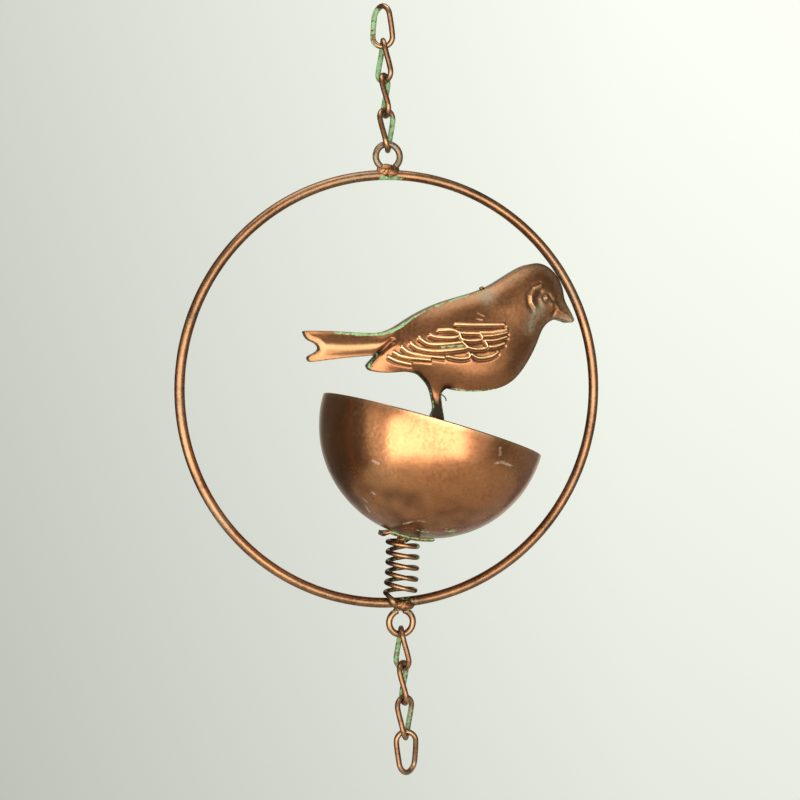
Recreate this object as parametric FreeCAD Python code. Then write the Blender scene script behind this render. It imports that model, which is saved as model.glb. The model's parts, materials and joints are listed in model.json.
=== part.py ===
import FreeCAD, Part
import math
import os

V = FreeCAD.Vector

# Sizes are in millimetres and angles in degrees.
# The origin is the top of the space inside the top link, where a hook holds the chain.
# +Z is up, the hoop faces -Y, leaning back by hang_lean, and the bird faces +X on its -Y side.

# Chain links: closed ovals of wire, each twisted about its own length
link_wire = 1.9
link_inside_length = 12.15
link_inside_width = 5.0
link_turn = 50.0
link_gap = 0.12
seat_sweep = 60
seat_step = 2
upper_headings = (115.0, 75.0, 49.0, 25.0)
lower_headings = (75.0, 47.0, 20.0, -15.0)

# Hoop and its two wire eyes, leaning back as they hang under the bird's weight
hoop_outside = 152.0
hoop_wire = 3.5
eye_outside = 10.8
eye_wire = 2.25
upper_eye_rise = 6.35
lower_eye_drop = 7.05
eye_gap = 0.1
hang_lean = 3.5

# Spring on the inside of the hoop
spring_wire = 1.65
spring_outside = 12.0
spring_height = 18.5
spring_turns = 5
spring_stand = 0.2
spring_foot_x = -0.1
spring_lean = 1.5
spring_bow = 0.31
spring_top_arc = 110.0
spring_top_fall = 6.0
spring_tail_x = 2.4
spring_tail_gap = 0.12

# Bowl, leaning on the spring
bowl_outside = 79.6
bowl_wall = 0.8
bowl_lean_x = 18.75
bowl_lean_y = 1.7
bowl_rise = 2.4
bowl_shift = -0.6

# Strap between the bowl and the spring
strap_thickness = 1.1
strap_width = 6.0
strap_left = 7.2
strap_right = 11.6
strap_film = 0.05

# Braze lumps: half length along X, then half height
upper_lump = (4.6, 2.9)
lower_lump = (4.4, 2.7)
seat_lump = (2.9, 1.5)
foot_lump = (3.2, 2.0)
seam_lump = (0.95, 0.7)
braze_gap = 0.1

# Songbird of two stamped halves, with sizes from the middle of its foot
bird_sheet = 0.6
bird_edge = 1.6
bird_roll = 13.0
body_depth = 8.0
head_depth = 6.6
tail_depth = 3.0
leg_depth = 0.8
foot_heading = 255.7
foot_gap = 0.1
foot_rise = 0.8
tail_span = (-26.0, 0.0)
neck_span = (22.0, 38.0)
relief_step = 2.4
rim_step = 0.6
seam_tack_at = (16.6, 41.0)

# Bird's outline, from the beak's tip over the back and round to the breast
back_points = (
    (47.5, 29.9), (45.9, 33.2), (44.2, 36.6), (43.6, 40.0), (42.1, 43.8), (39.2, 47.1), (35.0, 48.8),
    (29.3, 47.3), (18.4, 41.4), (4.8, 37.4), (-8.7, 31.7), (-16.6, 27.8), (-23.0, 27.4), (-32.0, 28.1),
    (-43.4, 28.6),
)
tail_fork = (-38.7, 23.1)
tail_under_points = ((-41.8, 18.9), (-32.0, 19.5), (-19.8, 20.2))
wing_tip = (-23.1, 17.0)
under_points = ((-22.2, 15.5), (-18.0, 14.6), (-7.1, 14.1), (-1.0, 10.8), (6.3, 8.1), (14.7, 7.5),
                (24.4, 10.1), (30.0, 15.8), (34.4, 23.5), (37.3, 28.6), (40.6, 30.3), (46.6, 28.9))
leg_back_points = ((-7.1, 15.0), (-3.1, 10.2), (-1.5, 4.6), (-1.6, 1.4), (-2.3, 0.4))
leg_front_points = ((2.4, -0.7), (1.7, 4.4), (2.0, 7.6), (4.6, 9.6))
foot_depth = 3.2


def heading(angle):
    """Level unit vector at an angle about Z."""
    return V(math.cos(math.radians(angle)), math.sin(math.radians(angle)), 0)


def smooth(low, high, value):
    """Ease from 0 at low to 1 at high."""
    share = min(1.0, max(0.0, (value - low) / (high - low)))
    return share * share * (3 - 2 * share)


def wire_along(start, tangent, stops, wire):
    """Pieces of round wire along arcs, each arc tangent to the one before it."""
    pieces = []
    point = start
    for stop in stops:
        chord = stop - point
        axis = tangent.cross(chord).normalize()
        bend = tangent.getAngle(chord)
        radius = chord.Length / (2 * math.sin(bend))
        centre = point + axis.cross(tangent) * radius
        section = Part.Face(Part.Wire(Part.Circle(point, tangent, wire / 2).toShape()))
        pieces.append(section.revolve(centre, axis, math.degrees(2 * bend)))
        along = V(chord).normalize()
        tangent = along * (2 * tangent.dot(along)) - tangent
        point = stop
    return pieces


def joined(pieces):
    """One solid from pieces that share their end faces."""
    return pieces[0].multiFuse(pieces[1:]).removeSplitter()


def trimmed(shape, *neighbours):
    """Shape cut back to the faces of its neighbours."""
    for neighbour in neighbours:
        shape = shape.cut(neighbour.copy())
    return shape


def lump(centre, sizes):
    """Spheroid of braze, long along X."""
    half_length, half_height = sizes
    half = Part.Ellipse(V(0, 0, 0), half_length, half_height).toShape(0, math.pi)
    flat = Part.makeLine(V(-half_length, 0, 0), V(half_length, 0, 0))
    shape = Part.Face(Part.Wire([half, flat])).revolve(V(0, 0, 0), V(1, 0, 0), 360)
    shape.translate(centre)
    return shape


# Chain
link_bend = (link_inside_width + link_wire) / 2
link_rise = link_inside_length + link_wire
eye_bend = (eye_outside - eye_wire) / 2
hoop_bend = (hoop_outside - hoop_wire) / 2


def link_slope():
    """Angle from upright at which a strand leaves its bend, in degrees."""
    slope = 0.0
    for _ in range(30):
        run = link_bend * math.radians(link_turn - 2 * slope)
        slope = math.degrees(math.atan(run / (link_rise - 2 * link_bend)))
    return slope


def link_waist(slope):
    """Distance of a strand's middle from the link's axis, where its two arcs meet smoothly."""
    lean = math.radians(slope)
    turn = math.radians(link_turn / 2 - slope)
    tangent = V(0, math.sin(lean), -math.cos(lean))
    waist = link_bend
    for _ in range(30):
        chord = V(waist * math.cos(turn) - link_bend, waist * math.sin(turn), link_bend - link_rise / 2)
        bow = math.sin(lean) * math.sin(turn) * chord.Length ** 2 / (2 * tangent.dot(chord))
        waist = link_bend * math.cos(turn) + bow
    return waist


def link(top, angle):
    """Twisted link whose top bend has its middle at height top and opens along angle."""
    slope = link_slope()
    waist = link_waist(slope)
    high = V(0, 0, top)
    low = V(0, 0, top - link_rise)
    lift = V(0, 0, link_bend)
    stops = []
    for side in (1, -1):
        shoulder = high - lift + heading(angle + slope) * (side * link_bend)
        middle = (high + low) / 2 + heading(angle + link_turn / 2) * (side * waist)
        knee = low + lift + heading(angle + link_turn - slope) * (side * link_bend)
        strand = [shoulder, middle, knee]
        stops += strand + [low] if side == 1 else strand[::-1] + [high]
    return joined(wire_along(high, heading(angle), stops, link_wire))


def hook_lift(bend_above, wire_above, bend_below, wire_below, crossing):
    """Height of the lower piece's top bend over the upper piece's bottom bend, middle to middle."""
    reach = (wire_above + wire_below) / 2 + link_gap
    angles = [math.radians(step) for step in range(-seat_sweep, seat_sweep + 1, seat_step)]
    best = reach
    for one in angles:
        for two in angles:
            apart = heading(0) * (bend_above * math.sin(one)) - heading(crossing) * (bend_below * math.sin(two))
            if apart.Length < reach:
                sink = bend_above * (1 - math.cos(one)) + bend_below * (1 - math.cos(two))
                best = max(best, sink + math.sqrt(reach ** 2 - apart.Length ** 2))
    return best


upper_tops = [link_wire / 2]
for above, below in zip(upper_headings, upper_headings[1:]):
    seat = upper_tops[-1] - link_rise
    upper_tops.append(seat + hook_lift(link_bend, link_wire, link_bend, link_wire, below - above - link_turn))
upper_links = [link(top, angle) for top, angle in zip(upper_tops, upper_headings)]

# Hoop and eyes
last_crossing = upper_headings[-1] + link_turn
upper_eye_top = upper_tops[-1] - link_rise + hook_lift(link_bend, link_wire, eye_bend, eye_wire, last_crossing)
upper_eye_z = upper_eye_top - eye_bend
hoop_top = upper_eye_z - upper_eye_rise
hoop_z = hoop_top - hoop_bend
hoop_bottom = hoop_z - hoop_bend
lower_eye_z = hoop_bottom - lower_eye_drop

hoop = Part.makeTorus(hoop_bend, hoop_wire / 2, V(0, 0, hoop_z), V(0, 1, 0))


def eye(centre_z, toward_hoop, distance):
    """Wire eye, open on the side of the hoop, with its two ends against the hoop."""
    reach = distance - (hoop_wire + eye_wire) / 2 - eye_gap
    opening = math.acos(min(1.0, reach / eye_bend))
    ends = [V(side * eye_bend * math.sin(opening), 0, centre_z + toward_hoop * eye_bend * math.cos(opening))
            for side in (-1, 1)]
    start = V(-toward_hoop * math.cos(opening), 0, -math.sin(opening)) * toward_hoop
    far = V(0, 0, centre_z - toward_hoop * eye_bend)
    return joined(wire_along(ends[0], start, [far, ends[1]], eye_wire))


upper_eye = eye(upper_eye_z, -1, upper_eye_rise)
lower_eye = eye(lower_eye_z, 1, lower_eye_drop)

lower_tops = [lower_eye_z - eye_bend
              + hook_lift(eye_bend, eye_wire, link_bend, link_wire, lower_headings[0])]
for above, below in zip(lower_headings, lower_headings[1:]):
    seat = lower_tops[-1] - link_rise
    lower_tops.append(seat + hook_lift(link_bend, link_wire, link_bend, link_wire, below - above - link_turn))
lower_links = [link(top, angle) for top, angle in zip(lower_tops, lower_headings)]

# Spring: half turns between tips on the left and right, each tip level along Y
spring_bend = (spring_outside - spring_wire) / 2
spring_foot_z = hoop_bottom + (hoop_wire + spring_wire) / 2 + spring_stand


def spring_tip(half_turn):
    """Leftmost or rightmost point of the wire, counted in half turns from the foot."""
    share = half_turn / (2 * spring_turns)
    slope = math.atan((spring_lean + 4 * spring_bow * (1 - 2 * share)) / spring_height)
    x = spring_foot_x + spring_lean * share + 4 * spring_bow * share * (1 - share)
    side = 1 if half_turn % 2 else -1
    across = V(math.cos(slope), 0, -math.sin(slope)) * (side * spring_bend)
    return V(x, 0, spring_foot_z + spring_height * share) + across


tips = [spring_tip(half_turn) for half_turn in range(2 * spring_turns, -1, -1)]
tail_reach = (hoop_wire + spring_wire) / 2 + spring_tail_gap
spring_tail = V(tips[-1].x + spring_tail_x, -tail_reach, hoop_bottom)
top_across = V(math.cos(math.radians(spring_top_fall)), 0, -math.sin(math.radians(spring_top_fall)))
top_arc = math.radians(spring_top_arc)
spring_end = tips[0] + top_across * (spring_bend * (1 - math.cos(top_arc))) + V(0, spring_bend * math.sin(top_arc), 0)


def spring_pieces(wire):
    """Pieces of the spring's wire, at the given thickness."""
    turns = wire_along(tips[0], V(0, -1, 0), tips[1:] + [spring_tail], wire)
    return wire_along(tips[0], V(0, 1, 0), [spring_end], wire) + turns


spring = joined(spring_pieces(spring_wire))

# Bowl, with its pole over the spring's top turn
bowl_radius = bowl_outside / 2
bowl_axis = V(math.tan(math.radians(bowl_lean_x)), math.tan(math.radians(bowl_lean_y)), 1).normalize()
bowl_turn = FreeCAD.Rotation(V(0, 0, 1), bowl_axis)
spring_top = V(spring_foot_x + spring_lean, 0, tips[0].z)
bowl_pole = spring_top + V(bowl_shift, 0, bowl_rise)
bowl_centre = bowl_pole + bowl_axis * bowl_radius
bowl_place = FreeCAD.Placement(bowl_centre, bowl_turn)


def half_ball(outer, inner):
    """Half ball shell below its centre."""
    diagonal = math.sqrt(0.5)
    outside = Part.Arc(V(0, 0, -outer), V(outer * diagonal, 0, -outer * diagonal), V(outer, 0, 0)).toShape()
    inside = Part.Arc(V(inner, 0, 0), V(inner * diagonal, 0, -inner * diagonal), V(0, 0, -inner)).toShape()
    rim = Part.makeLine(V(outer, 0, 0), V(inner, 0, 0))
    pole = Part.makeLine(V(0, 0, -inner), V(0, 0, -outer))
    return Part.Face(Part.Wire([outside, rim, inside, pole])).revolve(V(0, 0, 0), V(0, 0, 1), 360)


bowl = half_ball(bowl_radius, bowl_radius - bowl_wall)
bowl.Placement = bowl_place

# Strap that follows the bowl's curve under its pole
strap_inside = bowl_radius + strap_film
strap_shell = half_ball(strap_inside + strap_thickness, strap_inside)
strap_blank = Part.makeBox(strap_left + strap_right, strap_width, bowl_radius,
                           V(-strap_left, -strap_width / 2, -strap_inside - bowl_radius / 2))
spring_seat = strap_shell.common(strap_blank)
spring_seat.Placement = bowl_place

# Songbird
outline_back = Part.BSplineCurve()
outline_back.interpolate([V(x, 0, z) for x, z in back_points])
outline_tail = Part.BSplineCurve()
outline_tail.interpolate([V(x, 0, z) for x, z in tail_under_points])
outline_under = Part.BSplineCurve()
outline_under.interpolate([V(x, 0, z) for x, z in under_points])


def straight(points):
    """Straight edges through points of the bird's outline."""
    spots = [V(x, 0, z) for x, z in points]
    return [Part.makeLine(one, two) for one, two in zip(spots, spots[1:])]


body_wire = Part.Wire(
    [outline_back.toShape()]
    + straight([back_points[-1], tail_fork, tail_under_points[0]])
    + [outline_tail.toShape()]
    + straight([tail_under_points[-1], wing_tip, under_points[0]])
    + [outline_under.toShape()]
    + straight([under_points[-1], back_points[0]]))
body_face = Part.Face(body_wire)
body_box = body_face.BoundBox
rim_samples = [(point.x, point.z) for point in body_wire.discretize(Distance=rim_step)]


def rim_distance(x, z):
    """Distance inside the outline, or minus the distance outside it."""
    nearest = min(math.hypot(x - px, z - pz) for px, pz in rim_samples)
    return nearest if body_face.isInside(V(x, 0, z), 0.001, True) else -nearest


def relief(x, z):
    """Depth of the stamped half at a point of its outline plane."""
    depth = tail_depth + (body_depth - tail_depth) * smooth(*tail_span, x)
    depth += (head_depth - body_depth) * smooth(*neck_span, x)
    share = min(1.0, max(0.0, (rim_distance(x, z) + bird_edge / 2) / (bird_roll + bird_edge / 2)))
    return bird_edge + (depth - bird_edge) * math.sqrt(1 - (1 - share) ** 2)


def relief_net():
    """Square net of points that shapes the stamped face."""
    columns = int(body_box.XLength / relief_step) + 5
    rows = int(body_box.ZLength / relief_step) + 5
    net = []
    for column in range(columns):
        x = body_box.XMin + (column - 2) * relief_step
        line = [body_box.ZMin + (row - 2) * relief_step for row in range(rows)]
        net.append([(x, relief(x, z), z) for z in line])
    return net


net = relief_net()


def spline_knots(count):
    """Knots and their multiplicities for a clamped cubic with that many poles."""
    knots = list(range(count - 2))
    return knots, [4] + [1] * (count - 4) + [4]


def under_relief(drop):
    """Solid behind the stamped face, set back by a drop."""
    poles = [[V(x, drop - depth, z) for x, depth, z in line] for line in net]
    u_knots, u_mults = spline_knots(len(poles))
    v_knots, v_mults = spline_knots(len(poles[0]))
    surface = Part.BSplineSurface()
    surface.buildFromPolesMultsKnots(poles, u_mults, v_mults, u_knots, v_knots, False, False, 3, 3)
    return surface.toShape().extrude(V(0, 3 * body_depth, 0))


def slab(face, front, back):
    """Flat plate from a face in the seam plane, reaching front towards -Y and back towards +Y."""
    return face.translated(V(0, back, 0)).extrude(V(0, -front - back, 0))


def leg_face():
    """Outline of the leg strip, from inside the body down to the foot."""
    back = Part.BSplineCurve()
    back.interpolate([V(x, 0, z) for x, z in leg_back_points])
    front = Part.BSplineCurve()
    front.interpolate([V(x, 0, z) for x, z in leg_front_points])
    heel, toe = leg_back_points[-1], leg_front_points[0]
    sole = straight([heel, (heel[0], heel[1] - foot_depth), (toe[0], toe[1] - foot_depth), toe])
    top = straight([leg_front_points[-1], leg_back_points[0]])
    return Part.Face(Part.Wire([back.toShape()] + sole + [front.toShape()] + top))


def bird_half():
    """Half shell on the -Y side of the seam, with its half of the leg strip."""
    deep = 2 * body_depth
    shell = slab(body_face, deep, bird_edge).common(under_relief(0))
    inside_face = body_face.makeOffset2D(-bird_sheet).toNurbs()
    hollow = slab(inside_face, deep, 2 * bird_edge).common(under_relief(bird_sheet))
    leg = slab(leg_face(), leg_depth, bird_edge)
    wide = body_box.XLength + body_box.ZLength
    near_side = Part.makeBox(2 * wide, deep, 2 * wide, V(-wide, -deep, -wide))
    return shell.fuse(leg).cut(hollow).common(near_side).removeSplitter()


# The leg stands against the inside of the bowl's near rim
rim_inside = bowl_radius - bowl_wall
foot_spot = bowl_place.multVec(heading(foot_heading) * rim_inside)
heel_width = max(-leg_back_points[-1][0], leg_front_points[0][0])
wall_setback = heel_width * abs(math.tan(math.radians(foot_heading - 270)))
bird_plane = foot_spot.y + wall_setback + leg_depth + foot_gap
bird_place = FreeCAD.Placement(V(foot_spot.x, bird_plane, foot_spot.z + foot_rise), FreeCAD.Rotation())

bird_front = bird_half()
bird_back = bird_front.mirror(V(0, 0, 0), V(0, 1, 0))
bird_front.Placement = bird_place.multiply(bird_front.Placement)
bird_back.Placement = bird_place.multiply(bird_back.Placement)

# Braze lumps, cut back to the faces that they hold
upper_braze = trimmed(lump(V(0, 0, hoop_top + hoop_wire / 3), upper_lump), hoop, upper_eye)
lower_centre = V(spring_wire / 2, -spring_wire / 4, hoop_bottom - hoop_wire / 4)
lower_braze = trimmed(lump(lower_centre, lower_lump), hoop, lower_eye, spring)
spring_clear = joined(wire_along(tips[0], V(0, 1, 0), [spring_end], spring_wire + 2 * braze_gap))
seat_centre = spring_end + V(0, 0, spring_wire / 2)
seat_braze = trimmed(lump(seat_centre, seat_lump), spring_seat, bowl, spring_clear)
foot_centre = V(foot_spot.x, foot_spot.y, foot_spot.z - foot_depth / 2)
bowl_room = Part.makeSphere(rim_inside, V(0, 0, 0), V(0, 0, 1), -90, 0, 360)
bowl_room.Placement = bowl_place
foot_braze = trimmed(lump(foot_centre, foot_lump).common(bowl_room), bird_front, bird_back)
seam_spot = bird_place.multVec(V(seam_tack_at[0], 0, seam_tack_at[1]))
seam_tack = trimmed(lump(seam_spot, seam_lump), bird_front, bird_back)

# The hoop and what it carries lean about its upper eye, and the lower chain hangs plumb from the eye below
lean = FreeCAD.Placement(V(0, 0, 0), FreeCAD.Rotation(V(1, 0, 0), hang_lean), V(0, 0, upper_eye_top))
lower_seat = V(0, 0, lower_eye_z - eye_bend)
lower_shift = lean.multVec(lower_seat) - lower_seat

nodes = {
    "hoop": hoop,
    "upper_eye": upper_eye,
    "upper_braze": upper_braze,
    "lower_eye": lower_eye,
    "lower_braze": lower_braze,
    "spring": spring,
    "spring_seat": spring_seat,
    "seat_braze": seat_braze,
    "bowl": bowl,
    "bird_front": bird_front,
    "bird_back": bird_back,
    "seam_tack": seam_tack,
    "foot_braze": foot_braze,
}
for shape in nodes.values():
    shape.Placement = lean.multiply(shape.Placement)
for number, (upper, lower) in enumerate(zip(upper_links, lower_links), 1):
    nodes[f"upper_link_{number}"] = upper
    nodes[f"lower_link_{number}"] = lower.translated(lower_shift)

os.makedirs("parts", exist_ok=True)
for name, shape in nodes.items():
    shape.exportStep(f"parts/{name}.step")
    print(name, shape.isValid(), len(shape.Solids), round(shape.Volume, 1))
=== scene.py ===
import json
import math

import bpy
import numpy as np
from mathutils import Matrix, Vector, geometry, noise

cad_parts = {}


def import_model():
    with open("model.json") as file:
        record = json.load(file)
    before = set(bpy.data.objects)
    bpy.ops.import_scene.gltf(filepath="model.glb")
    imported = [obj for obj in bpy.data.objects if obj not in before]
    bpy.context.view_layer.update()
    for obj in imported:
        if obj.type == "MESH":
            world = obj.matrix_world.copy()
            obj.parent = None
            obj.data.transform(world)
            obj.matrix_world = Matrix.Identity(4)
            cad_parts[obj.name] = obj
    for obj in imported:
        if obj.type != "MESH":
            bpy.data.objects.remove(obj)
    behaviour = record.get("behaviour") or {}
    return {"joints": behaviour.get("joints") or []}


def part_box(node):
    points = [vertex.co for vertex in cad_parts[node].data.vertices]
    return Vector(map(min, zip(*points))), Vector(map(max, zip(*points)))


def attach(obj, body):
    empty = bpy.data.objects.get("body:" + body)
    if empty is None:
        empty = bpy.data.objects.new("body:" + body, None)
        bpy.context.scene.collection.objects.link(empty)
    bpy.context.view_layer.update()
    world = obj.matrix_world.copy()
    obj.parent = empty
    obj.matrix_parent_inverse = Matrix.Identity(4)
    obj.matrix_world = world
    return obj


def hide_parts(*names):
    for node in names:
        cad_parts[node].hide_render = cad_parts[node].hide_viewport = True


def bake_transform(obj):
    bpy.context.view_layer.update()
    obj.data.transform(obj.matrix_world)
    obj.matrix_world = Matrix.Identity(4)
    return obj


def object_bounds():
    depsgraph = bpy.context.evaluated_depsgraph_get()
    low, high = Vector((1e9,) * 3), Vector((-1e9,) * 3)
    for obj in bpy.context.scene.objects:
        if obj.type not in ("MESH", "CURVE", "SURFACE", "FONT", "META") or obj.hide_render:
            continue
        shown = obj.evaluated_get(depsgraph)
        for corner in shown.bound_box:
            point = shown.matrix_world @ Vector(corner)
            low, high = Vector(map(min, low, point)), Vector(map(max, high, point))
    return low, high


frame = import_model()
cad_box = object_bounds()

# Sizes are in millimetres and angles in degrees, in the part's frame, and meshes are made in metres.
MM = 0.001

# Chain, hoop and eyes
link_wire = 1.9
link_inside_length = 12.15
link_inside_width = 5.0
link_turn = 50.0
upper_headings = (115.0, 75.0, 49.0, 25.0)
lower_headings = (75.0, 47.0, 20.0, -15.0)
hoop_outside = 152.0
hoop_wire = 3.5
eye_outside = 10.8
eye_wire = 2.25
upper_eye_rise = 6.35
lower_eye_drop = 7.05
eye_gap = 0.1

# Spring
spring_wire = 1.65
spring_outside = 12.0
spring_height = 18.5
spring_turns = 5
spring_stand = 0.2
spring_foot_x = -0.1
spring_lean = 1.5
spring_bow = 0.31
spring_top_arc = 110.0
spring_top_fall = 6.0
spring_tail_x = 2.4
spring_tail_gap = 0.12
spring_tail_swell = 0.70

# Bowl and strap
bowl_radius = 39.8
bowl_wall = 0.8
bowl_lean_x = 18.75
bowl_lean_y = 1.7
bowl_rise = 2.4
bowl_shift = -0.6
bowl_ripple = 0.12
strap_thickness = 1.1
strap_width = 6.0
strap_left = 7.2
strap_right = 11.6
strap_film = 0.05
strap_curl = 1.5

# Marks on the bowl, in its own frame: strokes of rubbed metal, and the middle of its green streaks
bowl_scuffs = (
    ((-20.1, -13.4, -31.7), (-18.5, -13.9, -32.4)), ((-17.8, -11.0, -33.8), (-15.3, -9.2, -35.5)),
    ((-19.3, -19.5, -28.8), (-18.3, -19.9, -29.2)), ((-4.8, -15.9, -36.2), (-2.9, -19.8, -34.4)),
    ((-1.5, -21.2, -33.7), (0.5, -21.5, -33.5)), ((13.8, -37.2, -3.2), (14.7, -36.6, -5.4)),
    ((14.0, -36.3, -8.5), (16.2, -35.6, -7.4), (20.7, -33.1, -7.6)),
    ((-23.7, -25.9, -18.8), (-22.0, -27.1, -19.2)),
)
bowl_scuff_width = 0.36
bowl_wash = (10.0, -13.0, -35.8)
bowl_wash_reach = 7.0

# Braze lumps: half length along X, then half height
upper_lump = (4.6, 2.9)
lower_lump = (4.4, 2.7)
seat_lump = (2.9, 1.5)
foot_lump = (3.2, 2.0)
seam_lump = (0.95, 0.7)
lump_ripple = 0.16
rough_ripple = 0.24

# Songbird, with sizes from the middle of its foot
bird_edge = 1.6
bird_roll = 13.0
body_depth = 8.0
head_depth = 6.6
tail_depth = 3.0
leg_depth = 0.8
foot_depth = 3.2
foot_heading = 255.7
foot_gap = 0.1
foot_rise = 0.8
tail_span = (-26.0, 0.0)
neck_span = (22.0, 38.0)
seam_tack_at = (16.6, 41.0)
bird_step = 0.25
bird_easing = 260
outline_easing = 8
wing_height = 0.3
feather_height = 0.50
feather_width = 0.29
feather_spread = 0.20
trough_drop = 0.90
trough_depth = 0.40
trough_width = 0.48

back_points = (
    (47.5, 29.9), (45.9, 33.2), (44.2, 36.6), (43.6, 40.0), (42.1, 43.8), (39.2, 47.1), (35.0, 48.8),
    (29.3, 47.3), (18.4, 41.4), (4.8, 37.4), (-8.7, 31.7), (-16.6, 27.8), (-23.0, 27.4), (-32.0, 28.1),
    (-43.4, 28.6),
)
tail_fork_points = ((-43.4, 28.6), (-41.9, 25.8), (-39.2, 24.3), (-38.4, 23.0), (-39.6, 21.6), (-42.2, 20.0),
                    (-41.6, 18.6))
tail_under_points = ((-41.6, 18.6), (-32.0, 19.5), (-19.8, 20.2))
wing_tip = (-23.1, 17.0)
under_points = ((-22.2, 15.5), (-18.0, 14.6), (-7.1, 14.1), (-1.0, 10.8), (6.3, 8.1), (14.7, 7.5),
                (24.4, 10.1), (30.0, 15.8), (34.4, 23.5), (37.3, 28.6), (40.6, 30.3), (46.6, 28.9))
leg_back_points = ((-7.1, 15.0), (-3.1, 10.2), (-1.5, 4.6), (-1.6, 1.4), (-2.3, 0.4))
leg_front_points = ((2.4, -0.7), (1.7, 4.4), (2.0, 7.6), (4.6, 9.6))

# Thin strand of braze at the leg
whisker_points = ((1.6, 6.9), (2.5, 6.3), (3.1, 5.5), (3.3, 4.7))
whisker_wire = 0.36
whisker_reach = 0.4

# Edge wall of each half of the bird, row by row to the seam: share of its depth, inset and darkness, the
# darkness being painted shade on the wall, darkest at the seam
edge_rows = ((0.55, 0.0, 0.25), (0.12, 0.0, 0.40), (0.04, 0.12, 0.8), (0.0, 0.30, 1.0))
edge_green = 0.30

# Wing: its raised outline, and the crests of its feathers in rows from the shoulder down
wing_points = ((3.0, 30.6), (21.8, 30.0), (24.0, 26.6), (22.6, 21.6), (18.0, 17.6), (6.0, 17.0), (-4.0, 17.3),
               (-12.0, 16.4), (-17.6, 17.6), (-18.2, 19.8), (-13.6, 23.4), (-8.6, 26.2), (-2.6, 28.4))
feathers = (
    ((4.9, 29.4), (13.0, 29.0), (21.3, 28.9)),
    ((-0.8, 27.6), (4.2, 27.8), (6.1, 26.5), (12.9, 26.3)),
    ((13.2, 26.5), (18.0, 26.5), (22.1, 27.2)),
    ((13.5, 25.4), (18.0, 25.5), (22.3, 26.4)),
    ((-3.5, 26.2), (-1.2, 25.3), (5.3, 25.0), (6.1, 26.5)),
    ((6.1, 26.5), (6.7, 24.1), (14.2, 24.0), (12.9, 26.3)),
    ((14.5, 24.0), (18.4, 24.0), (22.1, 25.0)),
    ((-6.9, 25.4), (-4.6, 23.4), (-1.3, 23.0), (6.7, 23.6)),
    ((6.7, 24.1), (7.7, 22.9), (9.0, 21.7), (12.1, 21.2), (15.8, 21.6), (14.3, 24.0)),
    ((16.1, 21.9), (18.8, 22.0), (21.2, 22.9)),
    ((-9.6, 23.7), (-7.0, 21.7), (-1.4, 20.8), (7.7, 21.5), (8.4, 21.9)),
    ((-12.4, 22.6), (-10.0, 20.5), (-4.7, 19.5), (0.9, 18.8)),
    ((2.1, 19.2), (5.9, 18.3), (9.6, 18.6), (9.0, 20.2)),
    ((10.0, 19.6), (12.3, 18.2), (16.9, 18.7), (19.0, 20.2)),
    ((-14.9, 21.1), (-12.5, 19.4), (-3.4, 18.2)),
    ((-16.6, 19.6), (-14.0, 18.1), (-9.4, 17.0)),
)
faint_feathers = (((12.7, 33.0), (14.7, 32.0)), ((12.3, 31.1), (14.0, 30.8)))

# Other relief of the bird: the line of each crest or hollow, its width and its height
relief_lines = {
    "ridge": (((-41.5, 24.0), (-30.0, 23.2), (-23.3, 23.2), (-15.8, 23.9)), 2.4, 0.7),
    "groove": (((-22.4, 17.6), (-19.4, 20.9), (-15.1, 24.6)), 0.85, -1.1),
    "beak": (((39.6, 35.4), (42.0, 33.0), (46.6, 30.0)), 0.9, 0.45),
    "gape": (((38.9, 36.9), (40.4, 33.6), (39.6, 31.6)), 0.6, -0.25),
    "ear": (((35.0, 41.0), (32.6, 40.2), (31.2, 38.2), (31.3, 36.0), (32.7, 34.0)), 0.62, 0.4),
    "hollow": (((34.6, 39.0), (33.4, 37.2), (34.0, 35.4)), 1.1, -0.4),
    "shade": (((34.6, 42.0), (31.8, 41.0), (30.1, 38.6), (30.2, 35.6), (31.6, 33.2)), 0.8, -0.25),
}
bird_eye = (37.0, 37.3)
socket_radius = 1.3
socket_width = 0.5
socket_depth = 0.25
pupil_radius = 0.8
pupil_height = 0.35

# Stains on the bird
green_trough = ((0.2, 22.2), (6.8, 22.4))
neck_stain = ((34.6, 33.4), (32.0, 31.0), (30.6, 27.4))
back_stain = (16.6, 37.6)
wing_tip_stain = (-22.7, 16.6)

# Finish tones, as linear colours, with each metal from dark to light
wire_tones = ((0.100, 0.041, 0.018), (0.23, 0.098, 0.040), (0.33, 0.156, 0.066))
bird_tones = ((0.190, 0.075, 0.031), (0.28, 0.119, 0.049), (0.37, 0.170, 0.070))
bowl_tones = ((0.330, 0.124, 0.050), (0.44, 0.184, 0.074), (0.57, 0.270, 0.114))
# The worn tone also paints highlight, and the soot tone also paints shade.
worn_copper_and_highlight = (0.93, 0.62, 0.32)
soot_and_shade_tone = (0.020, 0.015, 0.009)
verdigris_dull = (0.100, 0.165, 0.068)
verdigris_pale = (0.205, 0.350, 0.150)
film_tone = (0.230, 0.208, 0.130)
scuff_tone = (0.74, 0.62, 0.50)

# Mesh steps: sides of each wire, and rows and columns of the other meshes
wire_step = 0.4
link_sides = 18
hoop_sides = 22
hoop_steps = 720
eye_sides = 20
spring_sides = 16
whisker_sides = 8
whisker_step = 0.2
bowl_outer_rows = 140
bowl_lip_rows = 9
bowl_inner_rows = 50
bowl_turns = 400
strap_grid = (60, 18)
lump_grid = (36, 54)

# Rings that round off the open end of a wire: reach and width, in radii
wire_end_rings = ((0.16, 0.93), (0.26, 0.72), (0.30, 0.05))

joints = {joint["name"]: joint for joint in frame["joints"]}
ring_pivot = np.array(joints["ring_swing"]["pos_m"]) / MM
lower_seat = np.array(joints["fifth_link_swing"]["pos_m"]) / MM
hang_lean = math.atan2(lower_seat[1] - ring_pivot[1], ring_pivot[2] - lower_seat[2])
hang_turn = np.array(Matrix.Rotation(hang_lean, 3, "X"))


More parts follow.
